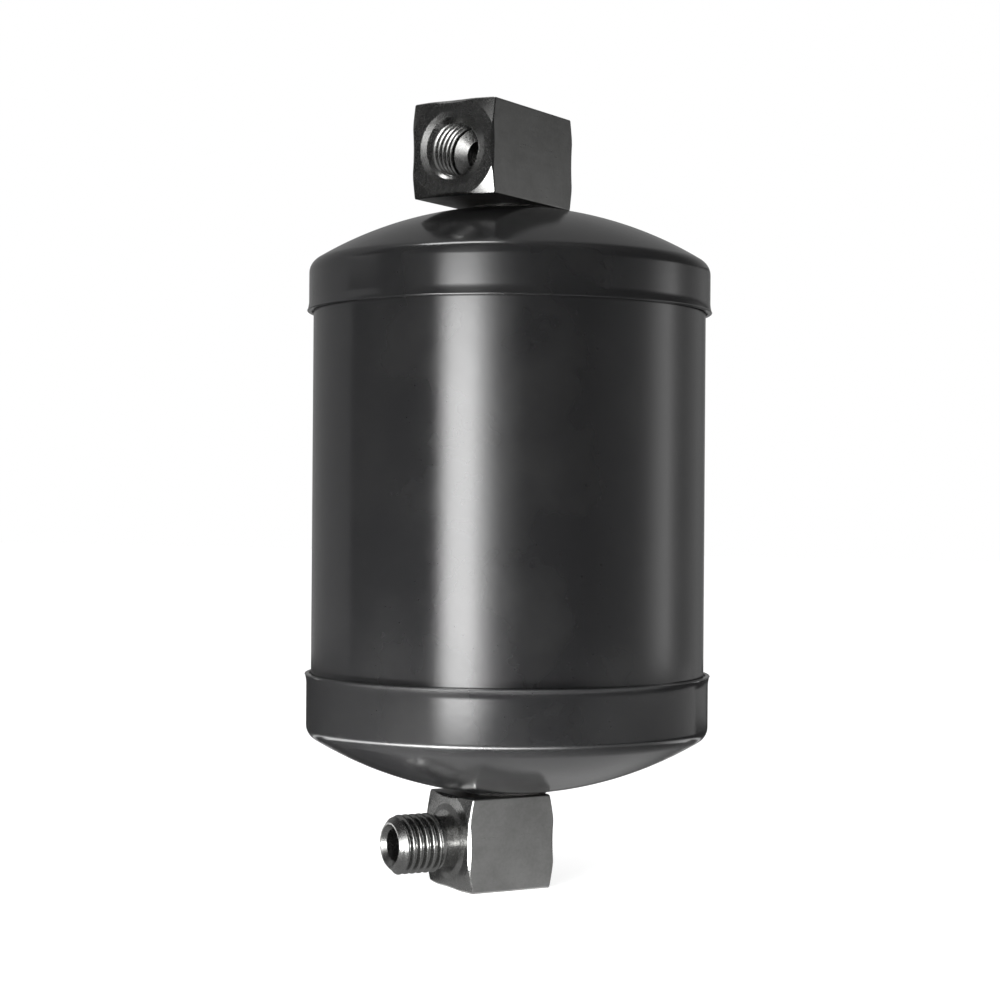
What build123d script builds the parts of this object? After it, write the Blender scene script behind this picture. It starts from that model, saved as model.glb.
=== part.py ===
"""Filter drier: a steel can with domed caps, a square female inlet and a square male outlet.

Millimetres, +Z up along the can. The origin is on the can's axis at the outlet fitting's
flat underside. The inlet port looks along -Y. Refrigerant enters at the top, passes down
through the desiccant bed and leaves at the bottom.
"""
import math
import os

from build123d import *

# ---- Shell ---------------------------------------------------------------------------
SHELL_RADIUS = 54.0            # outside
SHELL_WALL = 1.2
SHELL_LENGTH = 120.0

# ---- Pressed caps --------------------------------------------------------------------
CAP_WALL = 1.2
LAP_CLEARANCE = 0.05           # radial, cap skirt over shell
UPPER_SKIRT = 10.5             # lip to the start of the knuckle
LOWER_SKIRT = 14.1
UPPER_LAP = 9.0                # how far the shell stands inside each skirt
LOWER_LAP = 12.0
KNUCKLE_RADIUS = 4.2           # outside
CROWN_RADIUS = 102.0           # outside
LIP_FLARE = 0.5                # the mouth is belled out to slip over the shell
LIP_FLARE_LENGTH = 3.0

# ---- Square-bar fittings -------------------------------------------------------------
BAR_WIDTH = 25.4               # across flats
BAR_CORNER_RADIUS = 0.5
FACE_CIRCLE_RADIUS = 12.2      # the turned end faces, inside the corner chamfers
END_CHAMFER_ANGLE = 13.0       # degrees from the end face
INLET_REACH = 30.2             # can axis to the inlet's port face
INLET_TAIL = 12.4              # can axis to the inlet's plain end
OUTLET_REACH = 18.3
OUTLET_TAIL = 8.0
OUTLET_TURN = 30.0             # degrees from the inlet's direction, clockwise from above
SPIGOT_RADIUS = 7.0            # turned spigot that enters the cap
SPIGOT_CLEARANCE = 0.1
SPIGOT_STAND = 2.5             # how far the spigot passes the cap's wall
SPIGOT_CHAMFER = 0.5
RISER_RADIUS = 4.2             # drilled up through the spigot

# ---- Female inlet port, for an M16 x 2 thread ----------------------------------------
PORT_BORE_RADIUS = 7.0         # thread core
PORT_DEPTH = 16.0
PORT_PASSAGE_RADIUS = 4.0      # from the foot of the port to the riser
PORT_RECESS_RADIUS = 10.3      # shallow sealing recess round the mouth
PORT_RECESS_DEPTH = 0.7
PORT_SEAT_RADIUS = 8.6         # inner edge of the recess, where the mouth chamfer starts
DRILL_POINT_ANGLE = 59.0       # degrees from the axis

# ---- Male outlet stub, for an M16 x 2 thread -----------------------------------------
STUB_RADIUS = 8.0
STUB_LENGTH = 17.3
STUB_BORE_RADIUS = 4.0
NOSE_RADIUS = 5.2              # flat tip of the 45 degree flare cone
RELIEF_RADIUS = 6.9            # thread run-out groove next to the shoulder
RELIEF_WIDTH = 1.8
SHOULDER_RADIUS = 10.2
SHOULDER_HEIGHT = 0.6

# ---- Brazed joints -------------------------------------------------------------------
BRAZE_FILM = 0.15              # least gap between a fitting and its cap
BRAZE_RADIUS = 11.6            # how far the braze runs out under the fitting
SEAM_RECESS = 0.6              # the seam braze stops this far inside the lip

# ---- Desiccant bed and what holds it -------------------------------------------------
BORE_CLEARANCE = 0.3           # loose pieces to the inside of the shell
PLATE_THICKNESS = 1.0
PLATE_RIM = 5.0
PLATE_HOLE_RADIUS = 3.0
PLATE_HOLE_PITCH = 18.0
PLATE_HOLE_RINGS = 2
SCREEN_THICKNESS = 0.5
PAD_THICKNESS = 6.0
BED_HEIGHT = 91.0
SUPPORT_INSET = 5.8            # inside of the shell to the outside of the ring
SUPPORT_WALL = 1.5
SUPPORT_HEIGHT = 9.0
SEAT_CLEARANCE = 0.1
SPRING_WIRE = 2.6              # square wire, across flats
SPRING_FOOT_RADIUS = 36.0      # wire centre, large end on the plate
SPRING_TOP_RADIUS = 16.0       # wire centre, small end under the cap
SPRING_TURNS = 2.5
SPRING_CLEARANCE = 0.25        # wire to the plate and to the cap
SPRING_BENDS = 6               # tangent arcs in each turn
BEND_SHARE = 0.47              # how much of a run each of its two bends takes

# ---- Outlet strainer -----------------------------------------------------------------
COLLAR_CLEARANCE = 0.05
COLLAR_WALL = 0.8
COLLAR_LENGTH = 3.6
MESH_THICKNESS = 0.5
MESH_HEIGHT = 5.0

# ---- Sizes that follow ---------------------------------------------------------------
CAP_RADIUS = SHELL_RADIUS + LAP_CLEARANCE + CAP_WALL
KNUCKLE_CENTRE = CAP_RADIUS - KNUCKLE_RADIUS
CAP_HOLE_RADIUS = SPIGOT_RADIUS + SPIGOT_CLEARANCE
SHELL_BORE = SHELL_RADIUS - SHELL_WALL
LOOSE_RADIUS = SHELL_BORE - BORE_CLEARANCE
SUPPORT_RADIUS = SHELL_BORE - SUPPORT_INSET

# The crown's centre lies below the knuckle's centre, so that the two arcs are tangent.
CROWN_DROP = math.sqrt((CROWN_RADIUS - KNUCKLE_RADIUS) ** 2 - KNUCKLE_CENTRE ** 2)


def crown_height(radius, inset=0.0):
    """Height of the crown above the knuckle's centre, inset from the outside face."""
    return math.sqrt((CROWN_RADIUS - inset) ** 2 - radius ** 2) - CROWN_DROP


SEAT_HEIGHT = crown_height(CAP_HOLE_RADIUS) + BRAZE_FILM     # knuckle to fitting
LOWER_KNUCKLE_Z = BAR_WIDTH + SEAT_HEIGHT
LOWER_LIP_Z = LOWER_KNUCKLE_Z + LOWER_SKIRT
SHELL_BOTTOM_Z = LOWER_LIP_Z - LOWER_LAP
SHELL_TOP_Z = SHELL_BOTTOM_Z + SHELL_LENGTH
UPPER_LIP_Z = SHELL_TOP_Z - UPPER_LAP
UPPER_KNUCKLE_Z = UPPER_LIP_Z + UPPER_SKIRT
INLET_SEAT_Z = UPPER_KNUCKLE_Z + SEAT_HEIGHT

SUPPORT_Z = LOWER_KNUCKLE_Z - crown_height(SUPPORT_RADIUS, CAP_WALL) + SEAT_CLEARANCE
LOWER_PLATE_Z = SUPPORT_Z + SUPPORT_HEIGHT
LOWER_SCREEN_Z = LOWER_PLATE_Z + PLATE_THICKNESS
LOWER_PAD_Z = LOWER_SCREEN_Z + SCREEN_THICKNESS
BED_Z = LOWER_PAD_Z + PAD_THICKNESS
UPPER_PAD_Z = BED_Z + BED_HEIGHT
UPPER_SCREEN_Z = UPPER_PAD_Z + PAD_THICKNESS
UPPER_PLATE_Z = UPPER_SCREEN_Z + SCREEN_THICKNESS
SPRING_SEAT_Z = UPPER_PLATE_Z + PLATE_THICKNESS


def turned(points):
    """Solid turned about Z from a closed outline of (radius, height) points."""
    outline = make_face(Polyline(*[(r, 0, z) for r, z in points], close=True))
    return revolve(outline, Axis.Z)


def disc(radius, thickness, z):
    """Plain flat disc standing on height z."""
    return Pos(0, 0, z + thickness / 2) * Cylinder(radius, thickness)


def ring(outer, inner, height, z):
    """Plain ring standing on height z."""
    return disc(outer, height, z) - disc(inner, height, z)


def along_port(solid, turn):
    """Lay a solid that was turned about Z along a port direction, seen from above."""
    return Rot(0, 0, -90 - turn) * Rot(0, 90, 0) * solid


# ---- Can -----------------------------------------------------------------------------
def make_shell():
    """Rolled and welded tube."""
    return ring(SHELL_RADIUS, SHELL_BORE, SHELL_LENGTH, SHELL_BOTTOM_Z)


def cap_face(skirt, inset):
    """Points and arcs of one face of the cap, from its lip at height 0 to its hole."""
    side = CAP_RADIUS - inset
    crown = CROWN_RADIUS - inset
    crown_centre = skirt - CROWN_DROP
    knuckle_turn = math.atan2(CROWN_DROP, KNUCKLE_CENTRE)
    hole_turn = math.acos(CAP_HOLE_RADIUS / crown)

    def on_arc(centre_r, centre_z, radius, angle):
        return (centre_r + radius * math.cos(angle), 0, centre_z + radius * math.sin(angle))

    mouth = (side + LIP_FLARE, 0, 0)
    neck = (side, 0, LIP_FLARE_LENGTH)
    knuckle = KNUCKLE_RADIUS - inset
    start = (side, 0, skirt)
    halfway = on_arc(KNUCKLE_CENTRE, skirt, knuckle, knuckle_turn / 2)
    tangent = on_arc(KNUCKLE_CENTRE, skirt, knuckle, knuckle_turn)
    crown_middle = on_arc(0, crown_centre, crown, (knuckle_turn + hole_turn) / 2)
    hole_edge = on_arc(0, crown_centre, crown, hole_turn)
    lines = [
        Line(mouth, neck),
        Line(neck, start),
        ThreePointArc(start, halfway, tangent),
        ThreePointArc(tangent, crown_middle, hole_edge),
    ]
    return lines, mouth, hole_edge


def make_cap(skirt):
    """Deep-drawn cap with a belled mouth and a pierced hole, lip at height 0, crown up."""
    outside, outer_mouth, outer_hole = cap_face(skirt, 0)
    inside, inner_mouth, inner_hole = cap_face(skirt, CAP_WALL)
    rims = [Line(outer_mouth, inner_mouth), Line(outer_hole, inner_hole)]
    return revolve(make_face(outside + inside + rims), Axis.Z)


def make_seam_braze():
    """Braze metal in the wedge between the belled mouth and the shell, lip at height 0."""
    lap_radius = SHELL_RADIUS + LAP_CLEARANCE
    mouth_radius = lap_radius + LIP_FLARE * (1 - SEAM_RECESS / LIP_FLARE_LENGTH)
    return turned([
        (SHELL_RADIUS, SEAM_RECESS),
        (mouth_radius, SEAM_RECESS),
        (lap_radius, LIP_FLARE_LENGTH),
        (SHELL_RADIUS, LIP_FLARE_LENGTH),
    ])


def place_upper(solid):
    """Stand a cap piece, modelled lip down, on the shell's top."""
    return Pos(0, 0, UPPER_LIP_Z) * solid


def place_lower(solid):
    """Hang a cap piece, modelled lip down, upside down on the shell's bottom."""
    return Pos(0, 0, LOWER_LIP_Z) * Rot(180, 0, 0) * solid


# ---- Fittings ------------------------------------------------------------------------
def make_bar(reach, tail):
    """Square bar with both ends turned, along Z, from -tail to reach about the can axis."""
    length = reach + tail
    bar = Pos(0, 0, (reach - tail) / 2) * Box(BAR_WIDTH, BAR_WIDTH, length)
    bar = fillet(bar.edges().filter_by(Axis.Z), BAR_CORNER_RADIUS)
    corner = BAR_WIDTH / math.sqrt(2)
    slope = (corner - FACE_CIRCLE_RADIUS) * math.tan(math.radians(END_CHAMFER_ANGLE))
    turning = turned([
        (0, -tail),
        (FACE_CIRCLE_RADIUS, -tail),
        (corner, slope - tail),
        (corner, reach - slope),
        (FACE_CIRCLE_RADIUS, reach),
        (0, reach),
    ])
    return bar & turning


def make_spigot():
    """Spigot with its end chamfered, standing up from height 0."""
    length = BRAZE_FILM + CAP_WALL + SPIGOT_STAND
    return turned([
        (0, -SPIGOT_RADIUS),
        (SPIGOT_RADIUS, -SPIGOT_RADIUS),
        (SPIGOT_RADIUS, length - SPIGOT_CHAMFER),
        (SPIGOT_RADIUS - SPIGOT_CHAMFER, length),
        (0, length),
    ])


def riser(seat_to_axis):
    """Drilled passage from the bar's centre line to beyond the spigot's end."""
    top = BRAZE_FILM + CAP_WALL + 2 * SPIGOT_STAND
    return disc(RISER_RADIUS, seat_to_axis + top, -seat_to_axis)


def make_inlet_block():
    """Inlet fitting: female port in front, passage down through the spigot."""
    mouth_depth = PORT_RECESS_DEPTH + PORT_SEAT_RADIUS - PORT_BORE_RADIUS
    step = PORT_BORE_RADIUS - PORT_PASSAGE_RADIUS
    drill_point = step / math.tan(math.radians(DRILL_POINT_ANGLE))
    bore = turned([
        (0, 0),
        (PORT_PASSAGE_RADIUS, 0),
        (PORT_PASSAGE_RADIUS, INLET_REACH - PORT_DEPTH - drill_point),
        (PORT_BORE_RADIUS, INLET_REACH - PORT_DEPTH),
        (PORT_BORE_RADIUS, INLET_REACH - mouth_depth),
        (PORT_SEAT_RADIUS, INLET_REACH - PORT_RECESS_DEPTH),
        (PORT_RECESS_RADIUS, INLET_REACH),
        (0, INLET_REACH),
    ])
    bar = Pos(0, 0, INLET_SEAT_Z + BAR_WIDTH / 2) * along_port(make_bar(INLET_REACH, INLET_TAIL) - bore, 0)
    hang = Pos(0, 0, INLET_SEAT_Z) * Rot(180, 0, 0)
    return bar + hang * make_spigot() - hang * riser(BAR_WIDTH / 2)


def make_outlet_block():
    """Outlet fitting: passage from the spigot to a male stub with a 45 degree nose."""
    tip = OUTLET_REACH + STUB_LENGTH
    shoulder = OUTLET_REACH + SHOULDER_HEIGHT
    stub = turned([
        (0, 0),
        (SHOULDER_RADIUS, 0),
        (SHOULDER_RADIUS, shoulder),
        (RELIEF_RADIUS, shoulder),
        (RELIEF_RADIUS, shoulder + RELIEF_WIDTH),
        (STUB_RADIUS, shoulder + RELIEF_WIDTH + STUB_RADIUS - RELIEF_RADIUS),
        (STUB_RADIUS, tip - (STUB_RADIUS - NOSE_RADIUS)),
        (NOSE_RADIUS, tip),
        (0, tip),
    ])
    bore = disc(STUB_BORE_RADIUS, tip, 0)
    bar = along_port(make_bar(OUTLET_REACH, OUTLET_TAIL) + stub - bore, OUTLET_TURN)
    stand = Pos(0, 0, BAR_WIDTH)
    return Pos(0, 0, BAR_WIDTH / 2) * bar + stand * make_spigot() - stand * riser(BAR_WIDTH / 2)


def make_fitting_braze(reach, tail, turn):
    """Braze metal between a cap's crown and the flat seat of its fitting, at height 0."""
    crown = Pos(0, 0, -CROWN_DROP - SEAT_HEIGHT) * Sphere(CROWN_RADIUS)
    depth = SEAT_HEIGHT - crown_height(BRAZE_RADIUS)
    wedge = ring(BRAZE_RADIUS, CAP_HOLE_RADIUS, depth, -depth) - crown
    return wedge & along_port(make_bar(reach - SEAT_CLEARANCE, tail - SEAT_CLEARANCE), turn)


def place_outlet_braze():
    """The outlet's braze, turned over about the X axis onto the top of its fitting."""
    braze = make_fitting_braze(OUTLET_REACH, OUTLET_TAIL, 180 - OUTLET_TURN)
    return Pos(0, 0, BAR_WIDTH) * Rot(180, 0, 0) * braze


# ---- Desiccant bed -------------------------------------------------------------------
def hole_places():
    """Centres of a triangular pattern of holes about the plate's centre."""
    places = [(0.0, 0.0)]
    for ring_number in range(1, PLATE_HOLE_RINGS + 1):
        count = 6 * ring_number
        for k in range(count):
            turn = 2 * math.pi * k / count
            distance = ring_number * PLATE_HOLE_PITCH
            places.append((distance * math.cos(turn), distance * math.sin(turn)))
    return places


def make_perforated_plate(z):
    """Pressed plate with an upturned rim and a pattern of flow holes."""
    plate = disc(LOOSE_RADIUS, PLATE_THICKNESS + PLATE_RIM, z)
    plate -= disc(LOOSE_RADIUS - PLATE_THICKNESS, PLATE_RIM, z + PLATE_THICKNESS)
    drill = disc(PLATE_HOLE_RADIUS, PLATE_THICKNESS, z)
    return plate - [Pos(x, y, 0) * drill for x, y in hole_places()]


def make_bed_spring():
    """Conical coil spring of square wire from the upper plate to the upper cap."""
    stand_off = SPRING_WIRE / 2 + SPRING_CLEARANCE
    foot = SPRING_SEAT_Z + stand_off
    ceiling = UPPER_KNUCKLE_Z + crown_height(SPRING_TOP_RADIUS + SPRING_WIRE / 2, CAP_WALL)
    height = ceiling - stand_off - foot
    corners = []
    count = int(SPRING_BENDS * SPRING_TURNS)
    for k in range(count + 1):
        share = k / count
        turn = 2 * math.pi * SPRING_TURNS * share
        radius = SPRING_FOOT_RADIUS + (SPRING_TOP_RADIUS - SPRING_FOOT_RADIUS) * share
        corners.append(Vector(radius * math.cos(turn), radius * math.sin(turn), height * share))
    bends = []
    for before, here, after in zip(corners, corners[1:], corners[2:]):
        arriving, leaving = here - before, after - here
        half_turn = math.radians(arriving.get_angle(leaving)) / 2
        bends.append(BEND_SHARE * min(arriving.length, leaving.length) / math.tan(half_turn))
    path = FilletPolyline(*corners, radius=bends)
    wire = Plane(origin=path @ 0, x_dir=(0, 0, 1), z_dir=path % 0) * Rectangle(SPRING_WIRE, SPRING_WIRE)
    return Pos(0, 0, foot) * sweep(wire, path=path)


def make_strainer_collar(z):
    """Ring pressed over the outlet spigot, carrying the strainer's mesh."""
    inner = SPIGOT_RADIUS + COLLAR_CLEARANCE
    return ring(inner + COLLAR_WALL, inner, COLLAR_LENGTH, z)


def make_strainer_mesh(z):
    """Cup of wire cloth on the collar, as a thin closed shell."""
    outer = SPIGOT_RADIUS + COLLAR_CLEARANCE + COLLAR_WALL
    cup = disc(outer, MESH_HEIGHT, z)
    return cup - disc(outer - MESH_THICKNESS, MESH_HEIGHT - MESH_THICKNESS, z)


def make_nodes():
    """Every piece of the drier, by the name of its node."""
    felt_radius = LOOSE_RADIUS - PLATE_THICKNESS - BORE_CLEARANCE
    collar_radius = SPIGOT_RADIUS + COLLAR_CLEARANCE + COLLAR_WALL
    collar_z = LOWER_KNUCKLE_Z - crown_height(collar_radius, CAP_WALL) + SEAT_CLEARANCE
    return {
        "shell": make_shell(),
        "upper_cap": place_upper(make_cap(UPPER_SKIRT)),
        "lower_cap": place_lower(make_cap(LOWER_SKIRT)),
        "upper_seam_braze": place_upper(make_seam_braze()),
        "lower_seam_braze": place_lower(make_seam_braze()),
        "inlet_block": make_inlet_block(),
        "outlet_block": make_outlet_block(),
        "inlet_braze": Pos(0, 0, INLET_SEAT_Z) * make_fitting_braze(INLET_REACH, INLET_TAIL, 0),
        "outlet_braze": place_outlet_braze(),
        "support_ring": ring(SUPPORT_RADIUS, SUPPORT_RADIUS - SUPPORT_WALL, SUPPORT_HEIGHT, SUPPORT_Z),
        "lower_perforated_plate": make_perforated_plate(LOWER_PLATE_Z),
        "lower_screen": disc(felt_radius, SCREEN_THICKNESS, LOWER_SCREEN_Z),
        "lower_felt_pad": disc(felt_radius, PAD_THICKNESS, LOWER_PAD_Z),
        "desiccant_bed": disc(LOOSE_RADIUS, BED_HEIGHT, BED_Z),
        "upper_felt_pad": disc(LOOSE_RADIUS, PAD_THICKNESS, UPPER_PAD_Z),
        "upper_screen": disc(LOOSE_RADIUS, SCREEN_THICKNESS, UPPER_SCREEN_Z),
        "upper_perforated_plate": make_perforated_plate(UPPER_PLATE_Z),
        "bed_spring": make_bed_spring(),
        "strainer_collar": make_strainer_collar(collar_z),
        "strainer_mesh": make_strainer_mesh(collar_z + COLLAR_LENGTH),
    }


def main():
    os.makedirs("parts", exist_ok=True)
    for name, solid in make_nodes().items():
        export_step(solid, f"parts/{name}.step")
        print(f"{name}: {solid.volume:.0f} mm3")
    print(f"overall height {INLET_SEAT_Z + BAR_WIDTH:.2f}")


main()
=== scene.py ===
"""Filter drier: finished meshes, materials and studio for the packed model.

Metres, in the model's own frame: +Z up along the can, the inlet port looks along -Y. Fittings
are made along their own X axis, port end forward, and are then turned into place.
"""
import math

import bmesh
import bpy
import numpy as np
from bpy.props import FloatProperty, FloatVectorProperty, IntProperty, PointerProperty
from mathutils import Matrix, Vector


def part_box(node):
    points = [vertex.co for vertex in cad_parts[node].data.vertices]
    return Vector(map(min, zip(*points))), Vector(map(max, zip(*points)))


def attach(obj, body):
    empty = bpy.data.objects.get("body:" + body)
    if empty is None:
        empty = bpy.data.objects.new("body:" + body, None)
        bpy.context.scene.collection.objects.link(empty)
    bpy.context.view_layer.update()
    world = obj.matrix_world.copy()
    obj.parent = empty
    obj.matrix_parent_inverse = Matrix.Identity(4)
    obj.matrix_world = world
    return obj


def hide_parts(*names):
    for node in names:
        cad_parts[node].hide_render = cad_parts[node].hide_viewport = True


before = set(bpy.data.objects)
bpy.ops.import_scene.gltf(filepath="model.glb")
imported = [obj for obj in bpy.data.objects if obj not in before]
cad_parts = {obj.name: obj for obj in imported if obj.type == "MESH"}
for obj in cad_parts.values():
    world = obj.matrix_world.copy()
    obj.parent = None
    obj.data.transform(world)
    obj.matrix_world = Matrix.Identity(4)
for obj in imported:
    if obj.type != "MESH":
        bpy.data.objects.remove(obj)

bl_info = {
    "name": "Filter Drier",
    "version": (1, 0, 0),
    "blender": (4, 5, 0),
    "location": "3D View > Sidebar > Drier",
    "description": "Builds a painted filter drier with its two fittings and a small studio",
    "category": "Add Mesh",
}

MM = 0.001
SHELL_LOW, SHELL_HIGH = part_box("shell")
UPPER_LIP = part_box("upper_cap")[0].z
LOWER_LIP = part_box("lower_cap")[1].z
INLET_LOW, INLET_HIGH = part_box("inlet_block")
PORT_TURN = -math.pi / 2           # the inlet looks along -Y
SMOOTH_BELOW = math.radians(11)    # edges that turn less than this are shaded smooth

# How finely the meshes are made
LIP_STEPS = 4
BELL_ROWS = 8
BELL_START = 0.15                  # first row of the bell, as a share of its length
KNUCKLE_STEPS = 14
CROWN_STEPS = 28
CORNER_POINTS = 10                 # columns across each rounded corner of a bar
CORNER_MARGIN = 1.5                # half corners that the even columns keep clear
SPIGOT_COLUMNS = 96
RISER_COLUMNS = 64
CARD_STEP = 3                      # degrees between a card's columns

CREST_SHARE = 0.08                 # share of a thread's pitch that is flat crest
ROOT_SHARE = 0.15                  # share of a thread's pitch that is flat root
FLAT_TOLERANCE = 0.02 * MM         # how far inside a bar's flat its faces may lie
SIDEWAYS = 0.01                    # greatest X of the normal of a face along the bar
FLOOR_REACH = 4.0
LAMP_AIM = Vector((0, 0, 0.1))


def length(name, default, description):
    """Length property in metres."""
    return FloatProperty(name=name, default=default, description=description,
                         min=0.0, unit="LENGTH", precision=5)


def angle(name, degrees, description):
    """Angle property, given in degrees."""
    return FloatProperty(name=name, default=math.radians(degrees), description=description,
                         subtype="ANGLE")


def share(name, default, description):
    """Plain number between 0 and 1."""
    return FloatProperty(name=name, default=default, description=description, min=0.0, max=1.0)


def colour(name, default, description):
    """Linear colour property."""
    return FloatVectorProperty(name=name, default=default, description=description,
                               subtype="COLOR", size=3, min=0.0, max=1.0)


# ---- Settings --------------------------------------------------------------------------
class CanSizes(bpy.types.PropertyGroup):
    """Sizes of the shell and its two caps"""
    shell_radius: length("Shell Radius", SHELL_HIGH.x, "Outside radius of the tube")
    wall: length("Wall", 1.2 * MM, "Sheet thickness of the shell and the caps")
    lap_clearance: length("Lap Clearance", 0.05 * MM, "Radial gap between skirt and shell")
    upper_skirt: length("Upper Skirt", 10.5 * MM, "Lip to knuckle on the upper cap")
    lower_skirt: length("Lower Skirt", 14.1 * MM, "Lip to knuckle on the lower cap")
    knuckle_radius: length("Knuckle Radius", 4.2 * MM, "Outside bend between skirt and crown")
    crown_radius: length("Crown Radius", 102 * MM, "Outside radius of the domed crown")
    hole_radius: length("Hole Radius", 7.1 * MM, "Hole for the fitting's spigot")
    flare: length("Flare", 0.5 * MM, "How far the mouth is belled out")
    flare_length: length("Flare Length", 3 * MM, "Length of the belled mouth")
    lip_round: length("Lip Rounding", 0.3 * MM, "Rounding of the lip's outer edge")
    seam_recess: length("Seam Recess", 0.6 * MM, "Depth of the seam braze inside the lip")
    columns: IntProperty(name="Columns", default=192, min=24, description="Facets round the can")


class FittingSizes(bpy.types.PropertyGroup):
    """Sizes that both square fittings share"""
    half_width: length("Half Width", INLET_HIGH.x, "Can axis to the bar's flat")
    corner_radius: length("Corner Radius", 0.5 * MM, "Rounding along the bar's four edges")
    face_radius: length("Face Radius", 13.5 * MM, "Circle where the turned corners start")
    chamfer_angle: angle("Chamfer Angle", 17, "Slope of the turned corners from the end face")
    edge_break: length("Edge Break", 0.8 * MM, "Broken edge at the middle of each flat")
    corner_break: length("Corner Break", 0.3 * MM, "Broken edge at the turned corners")
    break_taper: length("Break Taper", 2 * MM, "Radial distance from the one to the other")
    face_rim: length("Face Rim", 0.1 * MM, "Least flat between the face and its broken edge")
    spigot_radius: length("Spigot Radius", 7 * MM, "Turned spigot that enters the cap")
    spigot_length: length("Spigot Length", 3.85 * MM, "Seat to the spigot's end")
    spigot_chamfer: length("Spigot Chamfer", 0.5 * MM, "Chamfer at the spigot's end")
    riser_radius: length("Riser Radius", 4.2 * MM, "Passage drilled through the spigot")
    passage_radius: length("Passage Radius", 4 * MM, "Passage along the bar")
    columns: IntProperty(name="Columns", default=144, min=24, description="Facets round the bar")


class InletSizes(bpy.types.PropertyGroup):
    """Sizes of the female inlet port"""
    reach: length("Reach", -INLET_LOW.y, "Can axis to the port face")
    tail: length("Tail", INLET_HIGH.y, "Can axis to the plain end")
    bore_radius: length("Bore Radius", 7 * MM, "Core of the internal thread")
    depth: length("Depth", 12.2 * MM, "Port face to the foot of the port")
    drill_angle: angle("Drill Angle", 59, "Drill point at the foot, from the axis")
    recess_radius: length("Recess Radius", 10 * MM, "Shallow recess round the mouth")
    recess_depth: length("Recess Depth", 0.4 * MM, "Depth of the recess")
    seat_radius: length("Seat Radius", 8.3 * MM, "Where the mouth's chamfer starts")


class OutletSizes(bpy.types.PropertyGroup):
    """Sizes of the male outlet stub"""
    reach: length("Reach", 18.3 * MM, "Can axis to the end face")
    tail: length("Tail", 8 * MM, "Can axis to the plain end")
    turn: angle("Turn", 30, "Angle from the inlet's direction, clockwise from above")
    stub_radius: length("Stub Radius", 8 * MM, "Crest of the external thread")
    stub_length: length("Stub Length", 17.3 * MM, "End face to the tip")
    nose_radius: length("Nose Radius", 6.05 * MM, "Flat tip of the 45 degree nose")
    bore_radius: length("Bore Radius", 4.4 * MM, "Bore through the stub")
    mouth_chamfer: length("Mouth Chamfer", 1.2 * MM, "Countersink at the bore's mouth")
    relief_radius: length("Relief Radius", 6.9 * MM, "Groove behind the collar")
    relief_foot: length("Relief Foot", 3.1 * MM, "End face to the groove's far side")
    collar_radius: length("Collar Radius", 7.4 * MM, "Plain collar behind the thread")
    collar_foot: length("Collar Foot", 4.3 * MM, "End face to the thread's last turn")
    shoulder_radius: length("Shoulder Radius", 10.2 * MM, "Foot of the raised ring")
    shoulder_top: length("Shoulder Top", 8.5 * MM, "Top of the raised ring's sloped side")
    shoulder_height: length("Shoulder Height", 0.6 * MM, "Height of the raised ring")


class ThreadSizes(bpy.types.PropertyGroup):
    """Sizes of both screw threads"""
    pitch: length("Pitch", 2 * MM, "Distance between crests")
    male_depth: length("Male Depth", 1.2 * MM, "Crest to root on the stub")
    female_depth: length("Female Depth", 1.05 * MM, "Core to root in the port")
    fade: length("Run-out", 1.2 * MM, "Length over which the thread dies away")
    steps: IntProperty(name="Steps", default=24, min=8, description="Rings per pitch")


class Finishes(bpy.types.PropertyGroup):
    """Colours and roughness of the finishes"""
    paint: colour("Paint", (0.0125, 0.0125, 0.013), "Black paint on the can")
    paint_dust: colour("Paint Dust", (0.035, 0.035, 0.034), "Faint dust on the paint")
    paint_roughness: share("Paint Roughness", 0.16, "Gloss of the paint")
    steel: colour("Steel", (0.30, 0.30, 0.295), "Bare steel of the fittings")
    steel_dark: colour("Dark Steel", (0.19, 0.19, 0.185), "Oxidised patches on the steel")
    steel_roughness: share("Steel Roughness", 0.30, "Gloss of the drawn flats")
    turned_roughness: share("Turned Roughness", 0.20, "Gloss of the turned faces")
    # The braze colour is dark partly from black paint over the braze and partly as painted shade
    # under the fittings.
    braze: colour("Braze", (0.030, 0.027, 0.024), "Heat-darkened braze metal")
    zinc: colour("Zinc", (0.62, 0.63, 0.64), "Zinc plate on the inner parts")
    wire: colour("Wire", (0.55, 0.54, 0.52), "Stainless wire cloth")
    felt: colour("Felt", (0.78, 0.76, 0.68), "Glass felt")
    beads: colour("Beads", (0.62, 0.55, 0.43), "Molecular-sieve beads")
    spring: colour("Spring", (0.20, 0.20, 0.21), "Oiled spring steel")


class StudioSettings(bpy.types.PropertyGroup):
    """Camera, lamp and cards"""
    camera_distance: length("Camera Distance", 603.8 * MM, "Can axis to the camera")
    camera_height: length("Camera Height", 102.8 * MM, "Camera above the floor")
    camera_turn: angle("Camera Turn", 31, "Camera round the can, from the inlet's side")
    camera_yaw: angle("Camera Yaw", -0.217, "Aim to the right of the can's axis")
    camera_pitch: angle("Camera Pitch", 0.269, "Aim above the level")
    camera_roll: angle("Camera Roll", 0.414, "Camera turned about its view")
    lens: FloatProperty(name="Lens", default=78.66, min=1.0, subtype="DISTANCE_CAMERA",
                        description="Focal length on a 36 mm sensor")
    key_level: FloatProperty(name="Key Level", default=15.5, min=0.0,
                             description="Radiance of the tall key card")
    back_level: FloatProperty(name="Backdrop Level", default=1.0, min=0.0,
                              description="Radiance of the white backdrop")
    room_level: FloatProperty(name="Room Level", default=0.35, min=0.0,
                              description="Diffuse light from the room")
    floor_glow: share("Floor Glow", 0.80, "Share of the floor's white that has no shadow")
    floor_colour: colour("Floor", (0.78, 0.78, 0.78), "Pale floor")


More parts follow.
